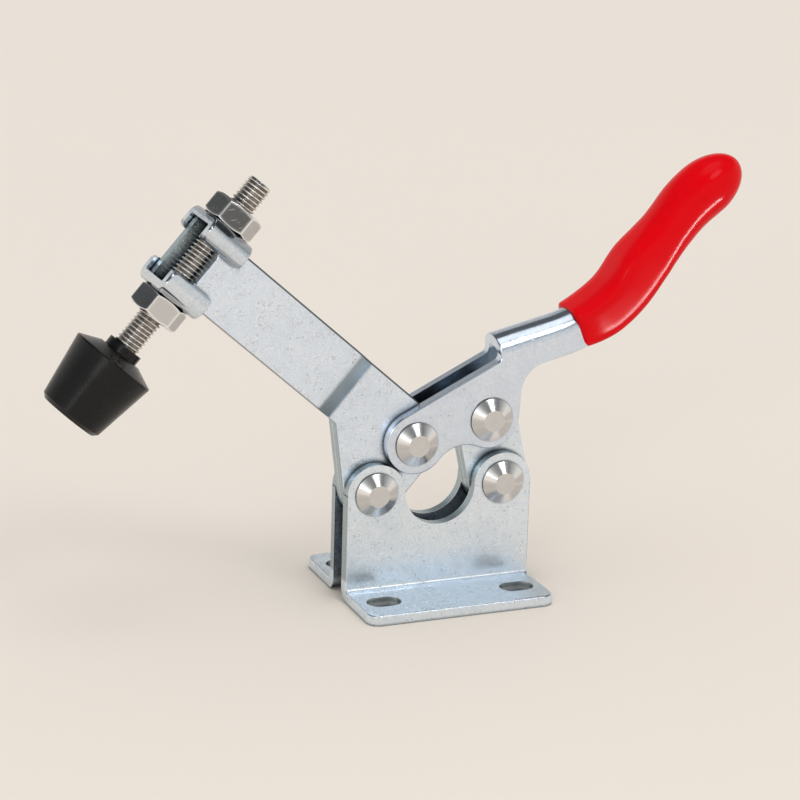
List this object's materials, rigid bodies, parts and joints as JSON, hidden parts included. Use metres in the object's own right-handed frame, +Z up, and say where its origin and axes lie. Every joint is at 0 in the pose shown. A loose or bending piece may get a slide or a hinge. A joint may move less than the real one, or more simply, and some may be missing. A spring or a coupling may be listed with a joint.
{
  "type": "toggle clamp",
  "caption": "Hold-down toggle clamp with a slotted flanged base, a spread steel bar with a rubber-tipped screw spindle, and a folded steel handle with a red grip.",
  "frame": {"origin": "centre of the four mounting slots, on the plane that the flanges rest on", "axes": "+X from the spindle end towards the handle, +Y from the front plate to the back plate along the rivets, +Z up from the mounting plane"},
  "size_m": [0.2139, 0.0544, 0.1277],
  "materials": {
    "zinc_steel": "bright zinc plating with fine marks",
    "turned_steel": "turned bright steel",
    "nickel_steel": "warm grey nickel plating on a rolled thread",
    "bright_steel": "bright plated, smooth",
    "red_vinyl": "glossy dipped vinyl",
    "black_rubber": "matte moulded rubber"
  },
  "bodies": {
    "base": {"base_plate_front": "zinc_steel", "base_plate_back": "zinc_steel", "rivet_base_arm": "turned_steel", "rivet_base_link": "turned_steel"},
    "arm": {"arm_strip_front": "zinc_steel", "arm_strip_back": "zinc_steel"},
    "handle": {"handle_frame": "zinc_steel", "hand_grip": "red_vinyl", "rivet_handle_arm": "turned_steel", "rivet_handle_link": "turned_steel"},
    "link": {"link_plate_front": "zinc_steel", "link_plate_back": "zinc_steel"},
    "spindle_seat": {"saddle_washer_upper": "zinc_steel", "saddle_washer_lower": "zinc_steel", "nut_upper": "bright_steel", "nut_lower": "bright_steel"},
    "spindle_rod": {"spindle": "nickel_steel", "rubber_tip": "black_rubber"}
  },
  "joints": [
    {"name": "arm_pivot", "type": "hinge", "parent": "base", "child": "arm", "pos_m": [-0.02, 0, 0.0325], "axis": [0, -1, 0], "range_deg": [-19, 40.4]},
    {"name": "handle_pivot", "type": "hinge", "parent": "arm", "child": "handle", "pos_m": [-0.00788, 0, 0.04674], "axis": [0, -1, 0], "range_deg": [-69.6, 33]},
    {"name": "link_pivot", "type": "hinge", "parent": "base", "child": "link", "pos_m": [0.02, 0, 0.0325], "axis": [0, -1, 0], "range_deg": [-17.2, 36.5]},
    {"name": "spindle_slide", "type": "slide", "parent": "arm", "child": "spindle_seat", "axis": [0.7501, 0, -0.6613], "range_m": [0, 0.044]},
    {"name": "spindle_height", "type": "slide", "parent": "spindle_seat", "child": "spindle_rod", "axis": [0.6613, 0, 0.7501], "range_m": [-0.0085, 0.0105]}
  ],
  "couplings": [
    {"joint": "handle_pivot", "follows": "arm_pivot", "ratio": -1.72},
    {"joint": "link_pivot", "follows": "arm_pivot", "ratio": 0.9}
  ]
}
